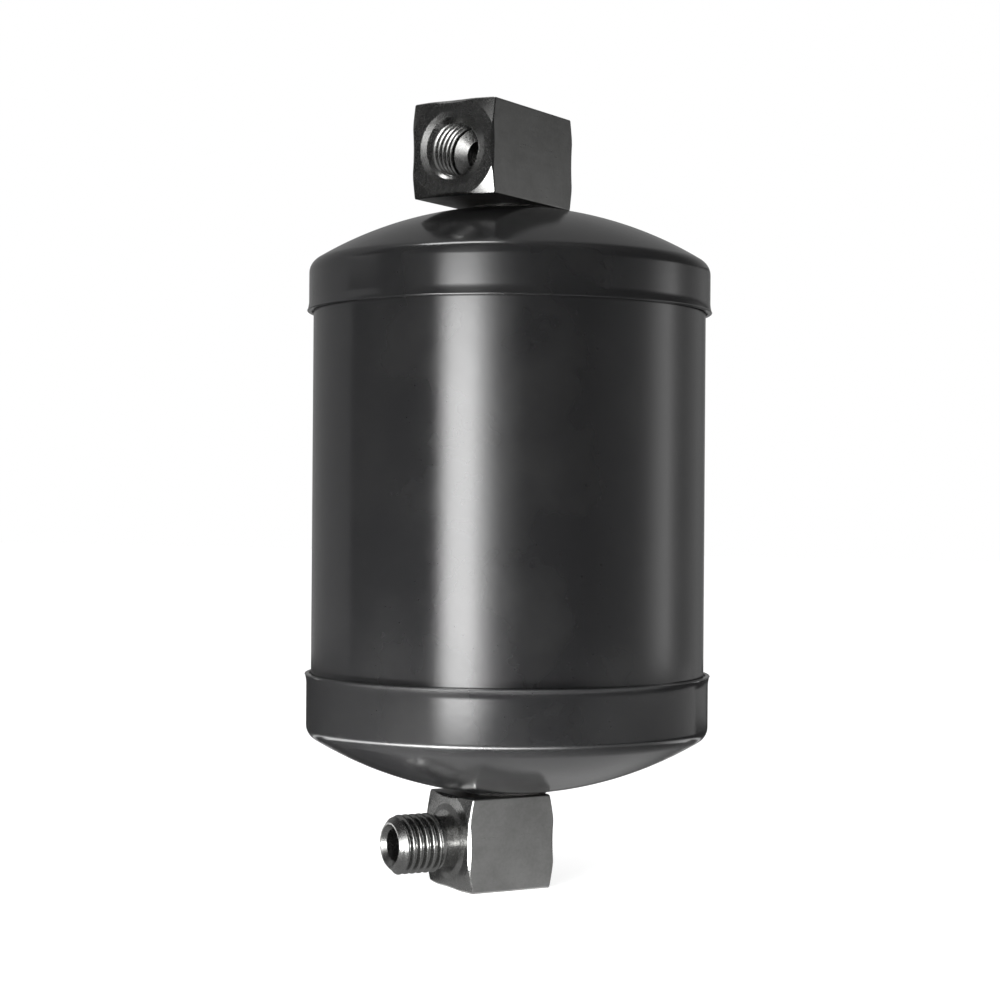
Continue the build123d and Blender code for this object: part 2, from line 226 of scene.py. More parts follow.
# ---- Mesh tools ------------------------------------------------------------------------
def new_piece(name, mesh):
    """Object for a mesh, linked to the scene."""
    piece = bpy.data.objects.new(name, mesh)
    bpy.context.scene.collection.objects.link(piece)
    return piece


def ringed_mesh(name, rings, joined=False):
    """Mesh through equal rings of points; a ring of one point is a pole."""
    points = [tuple(p) for ring in rings for p in ring]
    starts = np.cumsum([0] + [len(ring) for ring in rings])
    pairs = list(zip(range(len(rings) - 1), range(1, len(rings))))
    if joined:
        pairs.append((len(rings) - 1, 0))
    faces = []
    for here, there in pairs:
        a, b = int(starts[here]), int(starts[there])
        count = max(len(rings[here]), len(rings[there]))
        for k in range(count):
            after = (k + 1) % count
            if len(rings[here]) == 1:
                faces.append((a, b + k, b + after))
            elif len(rings[there]) == 1:
                faces.append((a + k, b, a + after))
            else:
                faces.append((a + k, b + k, b + after, a + after))
    mesh = bpy.data.meshes.new(name)
    mesh.from_pydata(points, [], faces)
    face_outwards(mesh)
    return mesh


def face_outwards(mesh):
    """Turn every face of a closed mesh outwards."""
    work = bmesh.new()
    work.from_mesh(mesh)
    bmesh.ops.recalc_face_normals(work, faces=work.faces)
    work.to_mesh(mesh)
    work.free()


def soften(mesh):
    """Smooth shading apart from the real edges."""
    mesh.shade_smooth()
    mesh.set_sharp_from_angle(angle=SMOOTH_BELOW)


def turned_rings(outline, columns):
    """Rings about Z through (radius, height) points; a point on the axis is a pole."""
    turns = np.linspace(0, 2 * math.pi, columns, endpoint=False)
    return [np.stack([r * np.cos(turns), r * np.sin(turns), np.full(columns, z)], axis=1)
            if r > 0 else np.array([(0.0, 0.0, z)]) for r, z in outline]


def turned_tube(name, outline, columns):
    """Closed ring turned about Z from its closed outline."""
    mesh = ringed_mesh(name, turned_rings(outline, columns), joined=True)
    soften(mesh)
    return new_piece(name, mesh)


def turned_bar(name, outline, columns):
    """Closed solid turned about Z, from a pole at each end of its outline."""
    return new_piece(name, ringed_mesh(name, turned_rings(outline, columns)))


def arc(centre, radius, start, end, steps):
    """Points of an arc about (radius, height), both ends included."""
    return [(centre[0] + radius * math.cos(a), centre[1] + radius * math.sin(a))
            for a in np.linspace(start, end, steps + 1)]


def settle(piece):
    """Turn a piece's modifiers into a plain mesh and remove them."""
    bpy.context.view_layer.update()
    graph = bpy.context.evaluated_depsgraph_get()
    made = bpy.data.meshes.new_from_object(piece.evaluated_get(graph))
    before = piece.data
    piece.modifiers.clear()
    piece.data = made
    bpy.data.meshes.remove(before)
    made.name = piece.name


def hand_over(piece, slot, *nodes):
    """Let a finished piece stand for its CAD nodes."""
    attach(piece, "root")
    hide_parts(*nodes)


# ---- Node helper -----------------------------------------------------------------------
class Nodes:
    """Short ways to add nodes and links to one node tree."""

    def __init__(self, tree):
        self.tree = tree

    def add(self, kind, inputs=None, **settings):
        """New node with its settings, and values or links on its inputs."""
        node = self.tree.nodes.new(kind)
        for key, value in settings.items():
            setattr(node, key, value)
        for key, value in (inputs or {}).items():
            if isinstance(value, bpy.types.NodeSocket):
                self.tree.links.new(value, node.inputs[key])
            else:
                node.inputs[key].default_value = value
        return node

    def maths(self, operation, first, second=0.5, clamp=False):
        """Math node on one or two values."""
        return self.add("ShaderNodeMath", {0: first, 1: second}, operation=operation,
                        use_clamp=clamp).outputs[0]

    def noise(self, vector, scale, detail=2.0, roughness=0.5):
        """Even noise value at a scale in waves per metre."""
        return self.add("ShaderNodeTexNoise", {"Vector": vector, "Scale": scale,
                        "Detail": detail, "Roughness": roughness}).outputs["Fac"]

    def ramp(self, value, low, high, new_low=0.0, new_high=1.0, smooth=False):
        """Map a value from one range to another, clamped."""
        kind = "SMOOTHSTEP" if smooth else "LINEAR"
        return self.add("ShaderNodeMapRange", {"Value": value, "From Min": low,
                        "From Max": high, "To Min": new_low, "To Max": new_high},
                        interpolation_type=kind).outputs[0]

    def mix(self, factor, first, second):
        """Mix two colours, given as links or as (red, green, blue)."""
        first, second = (c if isinstance(c, bpy.types.NodeSocket) else (*c, 1.0)
                         for c in (first, second))
        return self.add("ShaderNodeMix", {0: factor, 6: first, 7: second},
                        data_type="RGBA").outputs[2]


# ---- Can -------------------------------------------------------------------------------
def cap_side(sizes, skirt, inset):
    """One face of a cap from its lip at height 0 to its hole, inset from the outside."""
    radius = sizes.shell_radius + sizes.lap_clearance + sizes.wall
    knuckle = radius - sizes.knuckle_radius
    drop = math.sqrt((sizes.crown_radius - sizes.knuckle_radius) ** 2 - knuckle ** 2)
    bend = math.atan2(drop, knuckle)
    crown = sizes.crown_radius - inset
    hole = math.acos(sizes.hole_radius / crown)
    side = radius - inset
    points = [(side + sizes.flare, 0.0)]
    # The bell opens along a gentle curve from the straight skirt.
    for t in np.linspace(BELL_START, 1, BELL_ROWS):
        points.append((side + sizes.flare * (1 - t) ** 2, sizes.flare_length * t))
    points += arc((knuckle, skirt), sizes.knuckle_radius - inset, 0, bend, KNUCKLE_STEPS)
    points += arc((0, skirt - drop), crown, bend, hole, CROWN_STEPS)[1:]
    return points


def cap_outline(sizes, skirt):
    """Closed outline of a cap with its lip rounded, lip at height 0, crown up."""
    outside = cap_side(sizes, skirt, 0.0)
    inside = cap_side(sizes, skirt, sizes.wall)
    mouth, round_over = outside[0], sizes.lip_round
    lip = arc((mouth[0] - round_over, round_over), round_over, -math.pi / 2, 0, LIP_STEPS)
    outside = lip + [p for p in outside[1:] if p[1] > round_over]
    return outside + inside[::-1]


def from_lip(outline, lip, upwards):
    """Put an outline of (radius, distance from the lip) points at the lip's height."""
    way = 1 if upwards else -1
    return [(r, lip + way * z) for r, z in outline]


def make_cap(sizes, name, skirt, lip, upwards):
    """Drawn cap standing up from its lip, or hanging down from it."""
    outline = from_lip(cap_outline(sizes, skirt), lip, upwards)
    return turned_tube(name, outline, sizes.columns)


def make_shell(sizes):
    """Plain tube between the caps."""
    inner = sizes.shell_radius - sizes.wall
    outline = [(sizes.shell_radius, SHELL_LOW.z), (sizes.shell_radius, SHELL_HIGH.z),
               (inner, SHELL_HIGH.z), (inner, SHELL_LOW.z)]
    return turned_tube("can_shell", outline, sizes.columns)


def make_seam(sizes, name, lip, upwards):
    """Braze metal in the mouth of a cap's skirt."""
    lap = sizes.shell_radius + sizes.lap_clearance
    t = sizes.seam_recess / sizes.flare_length
    outline = [(sizes.shell_radius, sizes.seam_recess),
               (lap + sizes.flare * (1 - t) ** 2, sizes.seam_recess),
               (lap, sizes.flare_length), (sizes.shell_radius, sizes.flare_length)]
    return turned_tube(name, from_lip(outline, lip, upwards), sizes.columns)


# ---- Square fittings -------------------------------------------------------------------
def bar_turns(sizes):
    """Angles of the columns round a bar, with extra ones in its rounded corners."""
    even = np.linspace(0, 2 * math.pi, sizes.columns, endpoint=False)
    inner = sizes.half_width - sizes.corner_radius
    extra = []
    for quarter in range(4):
        for swing in np.linspace(0, math.pi / 2, CORNER_POINTS):
            y = inner + sizes.corner_radius * math.cos(swing)
            z = inner + sizes.corner_radius * math.sin(swing)
            extra.append(math.atan2(z, y) + quarter * math.pi / 2)
    gap = (max(extra[:CORNER_POINTS]) - min(extra[:CORNER_POINTS])) / 2
    corners = [math.pi / 4 + q * math.pi / 2 for q in range(4)]
    even = [a for a in even if min(abs(a - c) for c in corners) > CORNER_MARGIN * gap]
    return np.array(sorted(even + extra))


def bar_radius(sizes, turns):
    """Distance from the bar's centre line to its surface at each angle."""
    y, z = np.abs(np.cos(turns)), np.abs(np.sin(turns))
    flat = sizes.half_width / np.maximum(y, z)
    inner = sizes.half_width - sizes.corner_radius
    along = (y + z) * inner
    inside = along ** 2 - 2 * inner ** 2 + sizes.corner_radius ** 2
    rounded = along + np.sqrt(np.maximum(inside, 0))
    in_corner = flat * np.minimum(y, z) > inner
    return np.where(in_corner, rounded, flat)


def fitting_mesh(name, sizes, front, reach, tail):
    """Bar with turned ends; front is its turned (position, radius) outline to the end face."""
    turns = bar_turns(sizes)
    surface = bar_radius(sizes, turns)
    edge = np.interp(surface - sizes.half_width, (0.0, sizes.break_taper),
                     (sizes.edge_break, sizes.corner_break))
    cone = surface - edge
    setback = np.maximum(cone - sizes.face_radius, 0.0) * math.tan(sizes.chamfer_angle)
    rim = np.minimum(sizes.face_radius, cone - sizes.face_rim)
    rows = front + [(reach, rim), (reach - setback, cone), (reach - setback - edge, surface),
                    (-tail + setback + edge, surface), (-tail + setback, cone), (-tail, rim),
                    (-tail, rim / 2), (-tail, 0.0)]
    rings = []
    for x, r in rows:
        if np.isscalar(r) and r == 0.0:
            rings.append(np.array([(x, 0.0, 0.0)]))
            continue
        x, r = np.broadcast_to(x, turns.shape), np.broadcast_to(r, turns.shape)
        rings.append(np.stack([x, r * np.cos(turns), r * np.sin(turns)], axis=1))
    return ringed_mesh(name, rings)


def rings_between(start, end, radius, spacing):
    """Close, even rings along a cylinder or cone for a thread to be cut in."""
    count = max(2, math.ceil(abs(end - start) / spacing))
    places = np.linspace(start, end, count + 1)
    return [(float(x), float(radius(x))) for x in places]


def inlet_front(sizes, port, thread):
    """Outline of the inlet from the blind end of its passage to the recess round the port."""
    step = port.bore_radius - sizes.passage_radius
    foot = port.reach - port.depth
    drill = foot - step / math.tan(port.drill_angle)
    seat = port.reach - port.recess_depth
    mouth = seat - (port.seat_radius - port.bore_radius)
    fine = thread.pitch / thread.steps
    rows = [(0.0, 0.0), (0.0, sizes.passage_radius), (drill, sizes.passage_radius)]
    rows += rings_between(foot, mouth, lambda x: port.bore_radius, fine)
    rows += rings_between(mouth, seat, lambda x: port.bore_radius + x - mouth, fine)[1:]
    return rows + [(port.reach, port.recess_radius)]


def outlet_front(stub, thread):
    """Outline of the outlet from the blind end of its passage, over the stub, to its foot."""
    tip = stub.reach + stub.stub_length
    shoulder = stub.reach + stub.shoulder_height
    relief = stub.reach + stub.relief_foot
    collar = stub.reach + stub.collar_foot
    cone = tip - (stub.stub_radius - stub.nose_radius)
    fine = thread.pitch / thread.steps
    rows = [(0.0, 0.0), (0.0, stub.bore_radius), (tip - stub.mouth_chamfer, stub.bore_radius),
            (tip, stub.bore_radius + stub.mouth_chamfer)]
    rows += rings_between(tip, cone, lambda x: stub.nose_radius + tip - x, fine)
    rise = stub.stub_radius - stub.collar_radius
    rows += rings_between(cone, collar + rise, lambda x: stub.stub_radius, fine)[1:]
    rows += [(collar, stub.collar_radius), (relief + rise, stub.collar_radius),
             (relief, stub.relief_radius), (shoulder, stub.relief_radius),
             (shoulder, stub.shoulder_top), (stub.reach, stub.shoulder_radius)]
    return rows


def join_spigot(piece, sizes, upwards):
    """Add the turned spigot to a fitting, and drill the riser through it."""
    way = 1 if upwards else -1
    seat, end = way * sizes.half_width, way * (sizes.half_width + sizes.spigot_length)
    radius, chamfer = sizes.spigot_radius, sizes.spigot_chamfer
    spigot = turned_bar("spigot", [(0, seat - way * chamfer), (radius, seat - way * chamfer),
                                   (radius, end - way * chamfer), (radius - chamfer, end),
                                   (0, end)], SPIGOT_COLUMNS)
    riser = turned_bar("riser", [(0, 0), (sizes.riser_radius, 0),
                                 (sizes.riser_radius, end + way * chamfer),
                                 (0, end + way * chamfer)], RISER_COLUMNS)
    for tool, operation in ((spigot, "UNION"), (riser, "DIFFERENCE")):
        cut = piece.modifiers.new(tool.name, "BOOLEAN")
        cut.operation = operation
        cut.solver = "EXACT"
        cut.object = tool
        settle(piece)
        mesh = tool.data
        bpy.data.objects.remove(tool)
        bpy.data.meshes.remove(mesh)


def thread_tree():
    """Node tree that cuts a right-handed thread about X into a turned surface."""
    name = "Cut Thread"
    if name in bpy.data.node_groups:
        return bpy.data.node_groups[name]
    tree = bpy.data.node_groups.new(name, "GeometryNodeTree")
    face = tree.interface
    face.new_socket("Geometry", in_out="INPUT", socket_type="NodeSocketGeometry")
    for label, text in (("Pitch", "Distance between crests"),
                        ("Surface", "Radius that the thread is cut into"),
                        ("Depth", "Crest to root"),
                        ("Side", "1 cuts inwards on a stub, -1 cuts outwards in a bore"),
                        ("Start", "Where the thread starts along X"),
                        ("End", "Where the thread ends along X"),
                        ("Fade", "Length over which each end dies away")):
        socket = face.new_socket(label, in_out="INPUT", socket_type="NodeSocketFloat")
        socket.description = text
    face.new_socket("Material", in_out="INPUT", socket_type="NodeSocketMaterial")
    face.new_socket("Geometry", in_out="OUTPUT", socket_type="NodeSocketGeometry")
    nodes = Nodes(tree)
    maths = nodes.maths
    given = nodes.add("NodeGroupInput").outputs
    place = nodes.add("GeometryNodeInputPosition").outputs[0]
    x, y, z = nodes.add("ShaderNodeSeparateXYZ", {0: place}).outputs
    radius = maths("SQRT", maths("ADD", maths("MULTIPLY", y, y), maths("MULTIPLY", z, z)))
    turn = maths("DIVIDE", maths("ARCTAN2", z, y), 2 * math.pi)
    phase = maths("FRACT", maths("SUBTRACT", maths("DIVIDE", x, given["Pitch"]), turn))
    ridge = maths("SUBTRACT", 1.0, maths("ABSOLUTE", maths("SUBTRACT",
                  maths("MULTIPLY", phase, 2.0), 1.0)))
    groove = nodes.ramp(ridge, CREST_SHARE, 1.0 - ROOT_SHARE, smooth=True)
    into = maths("DIVIDE", maths("SUBTRACT", x, given["Start"]), given["Fade"], clamp=True)
    out = maths("DIVIDE", maths("SUBTRACT", given["End"], x), given["Fade"], clamp=True)
    depth = maths("MULTIPLY", maths("MULTIPLY", groove, maths("MULTIPLY", into, out)),
                  given["Depth"])
    cut = maths("SUBTRACT", given["Surface"], maths("MULTIPLY", depth, given["Side"]))
    # A cone that already lies deeper than the groove keeps its own surface.
    lowest = maths("MINIMUM", maths("MULTIPLY", cut, given["Side"]),
                   maths("MULTIPLY", radius, given["Side"]))
    wanted = maths("MULTIPLY", lowest, given["Side"])
    scale = maths("DIVIDE", wanted, maths("MAXIMUM", radius, 0.001 * MM))
    moved = nodes.add("ShaderNodeCombineXYZ", {0: x, 1: maths("MULTIPLY", y, scale),
                                               2: maths("MULTIPLY", z, scale)}).outputs[0]
    inside = maths("MULTIPLY", maths("GREATER_THAN", x, given["Start"]),
                   maths("LESS_THAN", x, given["End"]))
    shift = nodes.add("GeometryNodeSetPosition", {"Geometry": given["Geometry"],
                      "Selection": inside, "Position": moved}).outputs[0]
    real = nodes.add("GeometryNodeRealizeInstances", {0: shift}).outputs[0]
    finish = nodes.add("GeometryNodeSetMaterial", {"Geometry": real,
                       "Material": given["Material"]}).outputs[0]
    nodes.add("NodeGroupOutput", {0: finish})
    return tree


def cut_thread(piece, thread, cut, material):
    """Cut a thread into a fitting that lies along X, and give it its material.

    The edges are marked first, so that the thread's own flanks stay smooth.
    """
    soften(piece.data)
    tree = thread_tree()
    modifier = piece.modifiers.new("Thread", "NODES")
    modifier.node_group = tree
    values = {"Pitch": thread.pitch, "Fade": thread.fade, "Material": material, **cut}
    for socket in tree.interface.items_tree:
        if socket.in_out == "INPUT" and socket.name in values:
            modifier[socket.identifier] = values[socket.name]
    settle(piece)


def finish_fitting(piece, sizes, flats, turn, height):
    """Even a fitting's shading, give its flats their material, and turn it into place."""
    even = piece.modifiers.new("Even Shading", "WEIGHTED_NORMAL")
    even.keep_sharp = True
    settle(piece)
    mesh = piece.data
    mesh.materials.append(flats)
    near = sizes.half_width - FLAT_TOLERANCE
    for face in mesh.polygons:
        y, z = abs(face.center.y), abs(face.center.z)
        on_flat = max(y, z) > near or math.hypot(y, z) > sizes.half_width
        if on_flat and abs(face.normal.x) < SIDEWAYS:
            face.material_index = 1
    mesh.transform(Matrix.Translation((0, 0, height)) @ Matrix.Rotation(turn, 4, "Z"))


def make_fitting(name, sizes, thread, port, front, cut, turn, height, spigot_up):
    """Whole fitting: turned bar, spigot, thread and steel; name is inlet or outlet."""
    label = name + "_fitting"
    piece = new_piece(label, fitting_mesh(label, sizes, front, port.reach, port.tail))
    join_spigot(piece, sizes, spigot_up)
    centre = (0.0, 0.0, height)
    cut_thread(piece, thread, cut, bare_steel(name + "_turned", centre, turn, True))
    flats = bare_steel(name + "_flats", centre, turn, False)
    finish_fitting(piece, sizes, flats, turn, height)
    return piece


# ---- Shader groups ---------------------------------------------------------------------
def shader_group(name, inputs, outputs):
    """New shader node group with named float or vector inputs and float outputs."""
    tree = bpy.data.node_groups.new(name, "ShaderNodeTree")
    for label, default in inputs:
        kind = "NodeSocketVector" if default is None else "NodeSocketFloat"
        socket = tree.interface.new_socket(label, in_out="INPUT", socket_type=kind)
        if default is not None:
            socket.default_value = default
    for label in outputs:
        tree.interface.new_socket(label, in_out="OUTPUT", socket_type="NodeSocketFloat")
    nodes = Nodes(tree)
    given = tree.nodes.new("NodeGroupInput").outputs
    out = tree.nodes.new("NodeGroupOutput").inputs
    return nodes, given, out


def dust_group(name):
    """Soft clouds of dust with a few specks."""
    nodes, given, out = shader_group(
        name, [("Vector", None), ("Cloud Scale", 40.0), ("Speck Scale", 900.0),
               ("Specks", 0.3)], ["Dust"])
    clouds = nodes.noise(given["Vector"], given["Cloud Scale"], detail=4.0, roughness=0.6)
    clouds = nodes.ramp(clouds, 0.42, 0.75)
    specks = nodes.add("ShaderNodeTexVoronoi", {"Vector": given["Vector"],
                       "Scale": given["Speck Scale"], "Randomness": 1.0}).outputs["Distance"]
    specks = nodes.ramp(specks, 0.0, 0.22, 1.0, 0.0)
    gate = nodes.noise(given["Vector"], given["Speck Scale"], detail=0.0)
    specks = nodes.maths("MULTIPLY", specks, nodes.ramp(gate, 0.6, 0.66))
    specks = nodes.maths("MULTIPLY", specks, given["Specks"])
    nodes.tree.links.new(nodes.maths("ADD", clouds, specks, clamp=True), out["Dust"])
    return nodes.tree


def mottle_group(name):
    """Blotches of two sizes, from 0 to 1."""
    nodes, given, out = shader_group(name, [("Vector", None), ("Scale", 200.0),
                                            ("Contrast", 1.0)], ["Mottle"])
    broad = nodes.noise(given["Vector"], given["Scale"], detail=3.0, roughness=0.6)
    fine = nodes.noise(given["Vector"], nodes.maths("MULTIPLY", given["Scale"], 7.0))
    both = nodes.maths("ADD", nodes.maths("MULTIPLY", broad, 0.7),
                       nodes.maths("MULTIPLY", fine, 0.3))
    centred = nodes.maths("MULTIPLY", nodes.maths("SUBTRACT", both, 0.5), given["Contrast"])
    nodes.tree.links.new(nodes.maths("ADD", nodes.maths("MULTIPLY", centred, 2.5), 0.5,
                                     clamp=True), out["Mottle"])
    return nodes.tree


def grain_group(name):
    """Fine lines along X, or round X where Turned is 1."""
    nodes, given, out = shader_group(name, [("Vector", None), ("Lines", 4000.0),
                                            ("Stretch", 0.03), ("Turned", 0.0)], ["Grain"])
    parts = nodes.add("ShaderNodeSeparateXYZ", {0: given["Vector"]}).outputs
    radius = nodes.maths("SQRT", nodes.maths("ADD", nodes.maths("POWER", parts[1], 2.0),
                                             nodes.maths("POWER", parts[2], 2.0)))
    turn = nodes.maths("MULTIPLY", nodes.maths("ARCTAN2", parts[2], parts[1]), 0.01)
    slow = nodes.maths("MULTIPLY", parts[0], given["Stretch"])
    drawn = nodes.add("ShaderNodeCombineXYZ", {0: slow, 1: parts[1], 2: parts[2]}).outputs[0]
    lathe = nodes.add("ShaderNodeCombineXYZ", {0: parts[0], 1: radius, 2: turn}).outputs[0]
    blend = nodes.add("ShaderNodeMix", {0: given["Turned"], 4: drawn, 5: lathe},
                      data_type="VECTOR").outputs[1]
    lines = nodes.noise(blend, given["Lines"], roughness=0.6)
    nodes.tree.links.new(lines, out["Grain"])
    return nodes.tree


# ---- Materials -------------------------------------------------------------------------
def new_material(name):
    """Material with a Principled shader, and its node helper."""
    material = bpy.data.materials.new(name)
    material.use_nodes = True
    nodes = Nodes(material.node_tree)
    return material, nodes, material.node_tree.nodes["Principled BSDF"]


def place_vector(nodes, centre=(0.0, 0.0, 0.0), turn=0.0):
    """Object coordinates, moved and turned back into a fitting's own frame."""
    place = nodes.add("ShaderNodeTexCoord").outputs["Object"]
    return nodes.add("ShaderNodeMapping", {"Vector": place, "Location": centre,
                     "Rotation": (0.0, 0.0, turn)}, vector_type="TEXTURE").outputs[0]


def add_group(nodes, name, build, inputs):
    """Place a shared shader group, built on first use, with its own values."""
    tree = bpy.data.node_groups.get(name) or build(name)
    return nodes.add("ShaderNodeGroup", inputs, node_tree=tree).outputs[0]


def add_dust(nodes, vector, cloud_scale, speck_scale, specks):
    """Clouds of dust and specks, from 0 to 1."""
    return add_group(nodes, "Dust", dust_group, {"Vector": vector, "Cloud Scale": cloud_scale,
                                                 "Speck Scale": speck_scale, "Specks": specks})


def add_mottle(nodes, vector, scale, contrast=1.0):
    """Blotches, from 0 to 1."""
    return add_group(nodes, "Mottle", mottle_group, {"Vector": vector, "Scale": scale,
                                                     "Contrast": contrast})


def bump(nodes, height, distance, strength, normal=None):
    """Bump node; distance in metres."""
    inputs = {"Height": height, "Distance": distance, "Strength": strength}
    if normal is not None:
        inputs["Normal"] = normal
    return nodes.add("ShaderNodeBump", inputs).outputs[0]


def finishes():
    """The finish settings."""
    return bpy.context.scene.drier_finishes


def finish_shader(nodes, shader, tone, rough, normal, metallic=1.0):
    """Link a shader's colour, roughness and normal, and say how metallic it is."""
    for label, source in (("Base Color", tone), ("Roughness", rough), ("Normal", normal)):
        nodes.tree.links.new(source, shader.inputs[label])
    shader.inputs["Metallic"].default_value = metallic


def black_paint():
    """Sprayed black paint with a slight orange peel and thin dust."""
    look = finishes()
    material, nodes, shader = new_material("can_paint")
    vector = place_vector(nodes)
    dust = add_dust(nodes, vector, cloud_scale=30.0, speck_scale=700.0, specks=0.6)
    mottle = add_mottle(nodes, vector, scale=90.0)
    dust_cover = 0.35
    dust_dulling = 0.04
    unevenness = 0.025
    tone = nodes.mix(nodes.maths("MULTIPLY", dust, dust_cover), look.paint, look.paint_dust)
    rough = nodes.ramp(mottle, 0.0, 1.0, look.paint_roughness - unevenness,
                       look.paint_roughness + unevenness)
    rough = nodes.maths("ADD", rough, nodes.maths("MULTIPLY", dust, dust_dulling))
    waves = nodes.noise(vector, 60.0, detail=1.0, roughness=0.4)
    peel = nodes.noise(vector, 620.0, detail=1.0, roughness=0.4)
    normal = bump(nodes, waves, distance=0.6 * MM, strength=0.05)
    normal = bump(nodes, peel, distance=0.03 * MM, strength=0.25, normal=normal)
    finish_shader(nodes, shader, tone, rough, normal, metallic=0.0)
    shader.inputs["IOR"].default_value = 1.5
    return material


def bare_steel(name, centre, turn, turned):
    """Satin steel of a fitting: drawn along the bar's flats, turned on its ends."""
    look = finishes()
    material, nodes, shader = new_material(name)
    vector = place_vector(nodes, centre, turn)
    mottle = add_mottle(nodes, vector, scale=170.0, contrast=1.1)
    grain = add_group(nodes, "Grain", grain_group, {
        "Vector": vector, "Lines": 5200.0 if turned else 3600.0, "Stretch": 0.05,
        "Turned": 1.0 if turned else 0.0})
    dust = add_dust(nodes, vector, cloud_scale=120.0, speck_scale=1500.0, specks=0.8)
    mottle_share = 0.75
    wear = 0.10
    patches = nodes.maths("ADD", nodes.maths("MULTIPLY", mottle, mottle_share),
                          nodes.maths("MULTIPLY", dust, 1.0 - mottle_share), clamp=True)
    tone = nodes.mix(patches, look.steel, look.steel_dark)
    low = look.turned_roughness if turned else look.steel_roughness
    rough = nodes.maths("ADD", nodes.ramp(mottle, 0.0, 1.0, low, low + wear),
                        nodes.ramp(grain, 0.3, 0.7, -0.05, 0.05))
    normal = bump(nodes, grain, distance=0.012 * MM, strength=0.5 if turned else 0.35)
    normal = bump(nodes, mottle, distance=0.02 * MM, strength=0.3, normal=normal)
    finish_shader(nodes, shader, tone, rough, normal)
    return material


def braze_metal():
    """Braze metal, darkened partly by black paint over it and partly as painted shade under the
    blocks; uneven and rough.
    """
    look = finishes()
    material, nodes, shader = new_material("braze_metal")
    vector = place_vector(nodes)
    mottle = add_mottle(nodes, vector, scale=500.0, contrast=1.4)
    # The braze tone carries painted shade under the fitting as well as the black paint over it.
    finish_shader(nodes, shader, nodes.mix(mottle, look.braze, look.paint),
                  nodes.ramp(mottle, 0.0, 1.0, 0.45, 0.75),
                  bump(nodes, mottle, distance=0.15 * MM, strength=0.6), metallic=0.0)
    return material


def plated_steel():
    """Zinc-plated sheet with a faint spangle."""
    look = finishes()
    material, nodes, shader = new_material("plated_steel")
    vector = place_vector(nodes)
    spangle = nodes.add("ShaderNodeTexVoronoi", {"Vector": vector, "Scale": 350.0})
    tone = nodes.ramp(spangle.outputs["Distance"], 0.0, 0.8, 0.0, 0.5)
    dust = add_dust(nodes, vector, cloud_scale=60.0, speck_scale=1200.0, specks=0.5)
    finish_shader(nodes, shader, nodes.mix(tone, look.zinc, look.steel_dark),
                  nodes.ramp(tone, 0.0, 0.5, 0.28, 0.42),
                  bump(nodes, dust, distance=0.02 * MM, strength=0.3))
    return material


def wire_cloth():
    """Plain-woven stainless wire, drawn by two crossed rows of wires."""
    look = finishes()
    material, nodes, shader = new_material("wire_cloth")
    parts = nodes.add("ShaderNodeSeparateXYZ", {0: place_vector(nodes)}).outputs
    waves = []
    wires_per_metre = 2200.0
    for part in (parts[0], parts[1]):
        wave = nodes.maths("SINE", nodes.maths("MULTIPLY", part, math.pi * wires_per_metre))
        waves.append(nodes.maths("ABSOLUTE", wave))
    height = nodes.maths("MAXIMUM", *waves)
    gap = nodes.ramp(height, 0.35, 0.6)
    shadow = (0.02, 0.02, 0.02)
    finish_shader(nodes, shader, nodes.mix(gap, shadow, look.wire),
                  nodes.ramp(height, 0.3, 1.0, 0.7, 0.3),
                  bump(nodes, height, distance=0.1 * MM, strength=0.8))
    return material


def glass_felt():
    """Matted glass fibre."""
    look = finishes()
    material, nodes, shader = new_material("glass_felt")
    vector = place_vector(nodes)
    fibres = nodes.noise(vector, 900.0, detail=6.0, roughness=0.7)
    mottle = add_mottle(nodes, vector, scale=120.0, contrast=0.8)
    shade = tuple(0.8 * c for c in look.felt)
    finish_shader(nodes, shader, nodes.mix(mottle, look.felt, shade),
                  nodes.ramp(fibres, 0.3, 0.7, 0.85, 1.0),
                  bump(nodes, fibres, distance=0.3 * MM, strength=0.7), metallic=0.0)
    shader.inputs["Sheen Weight"].default_value = 0.2
    return material


def bead_bed():
    """Packed round beads."""
    look = finishes()
    material, nodes, shader = new_material("desiccant_beads")
    cells = nodes.add("ShaderNodeTexVoronoi", {"Vector": place_vector(nodes),
                                               "Scale": 520.0, "Randomness": 0.7})
    dome = nodes.ramp(cells.outputs["Distance"], 0.0, 0.75, 1.0, 0.0)
    hollow = nodes.ramp(dome, 0.0, 0.5)
    shade = tuple(0.35 * c for c in look.beads)
    finish_shader(nodes, shader, nodes.mix(hollow, shade, look.beads),
                  nodes.ramp(dome, 0.0, 1.0, 0.9, 0.7),
                  bump(nodes, dome, distance=0.6 * MM, strength=0.8), metallic=0.0)
    return material


def spring_steel():
    """Dark, oiled spring wire."""
    look = finishes()
    material, nodes, shader = new_material("spring_steel")
    mottle = add_mottle(nodes, place_vector(nodes), scale=300.0)
    finish_shader(nodes, shader, nodes.mix(mottle, look.spring, look.steel_dark),
                  nodes.ramp(mottle, 0.0, 1.0, 0.3, 0.5),
                  bump(nodes, mottle, distance=0.03 * MM, strength=0.4))
    return material


def dress(material, *nodes):
    """Give packed CAD nodes a material."""
    for name in nodes:
        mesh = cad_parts[name].data
        mesh.materials.clear()
        mesh.materials.append(material)


# ---- Studio ----------------------------------------------------------------------------
def seen_ray(nodes):
    """1 for camera, glossy and transmission rays, otherwise 0."""
    path = nodes.add("ShaderNodeLightPath").outputs
    some = nodes.maths("MAXIMUM", path["Is Camera Ray"], path["Is Glossy Ray"])
    return nodes.maths("MAXIMUM", some, path["Is Transmission Ray"])


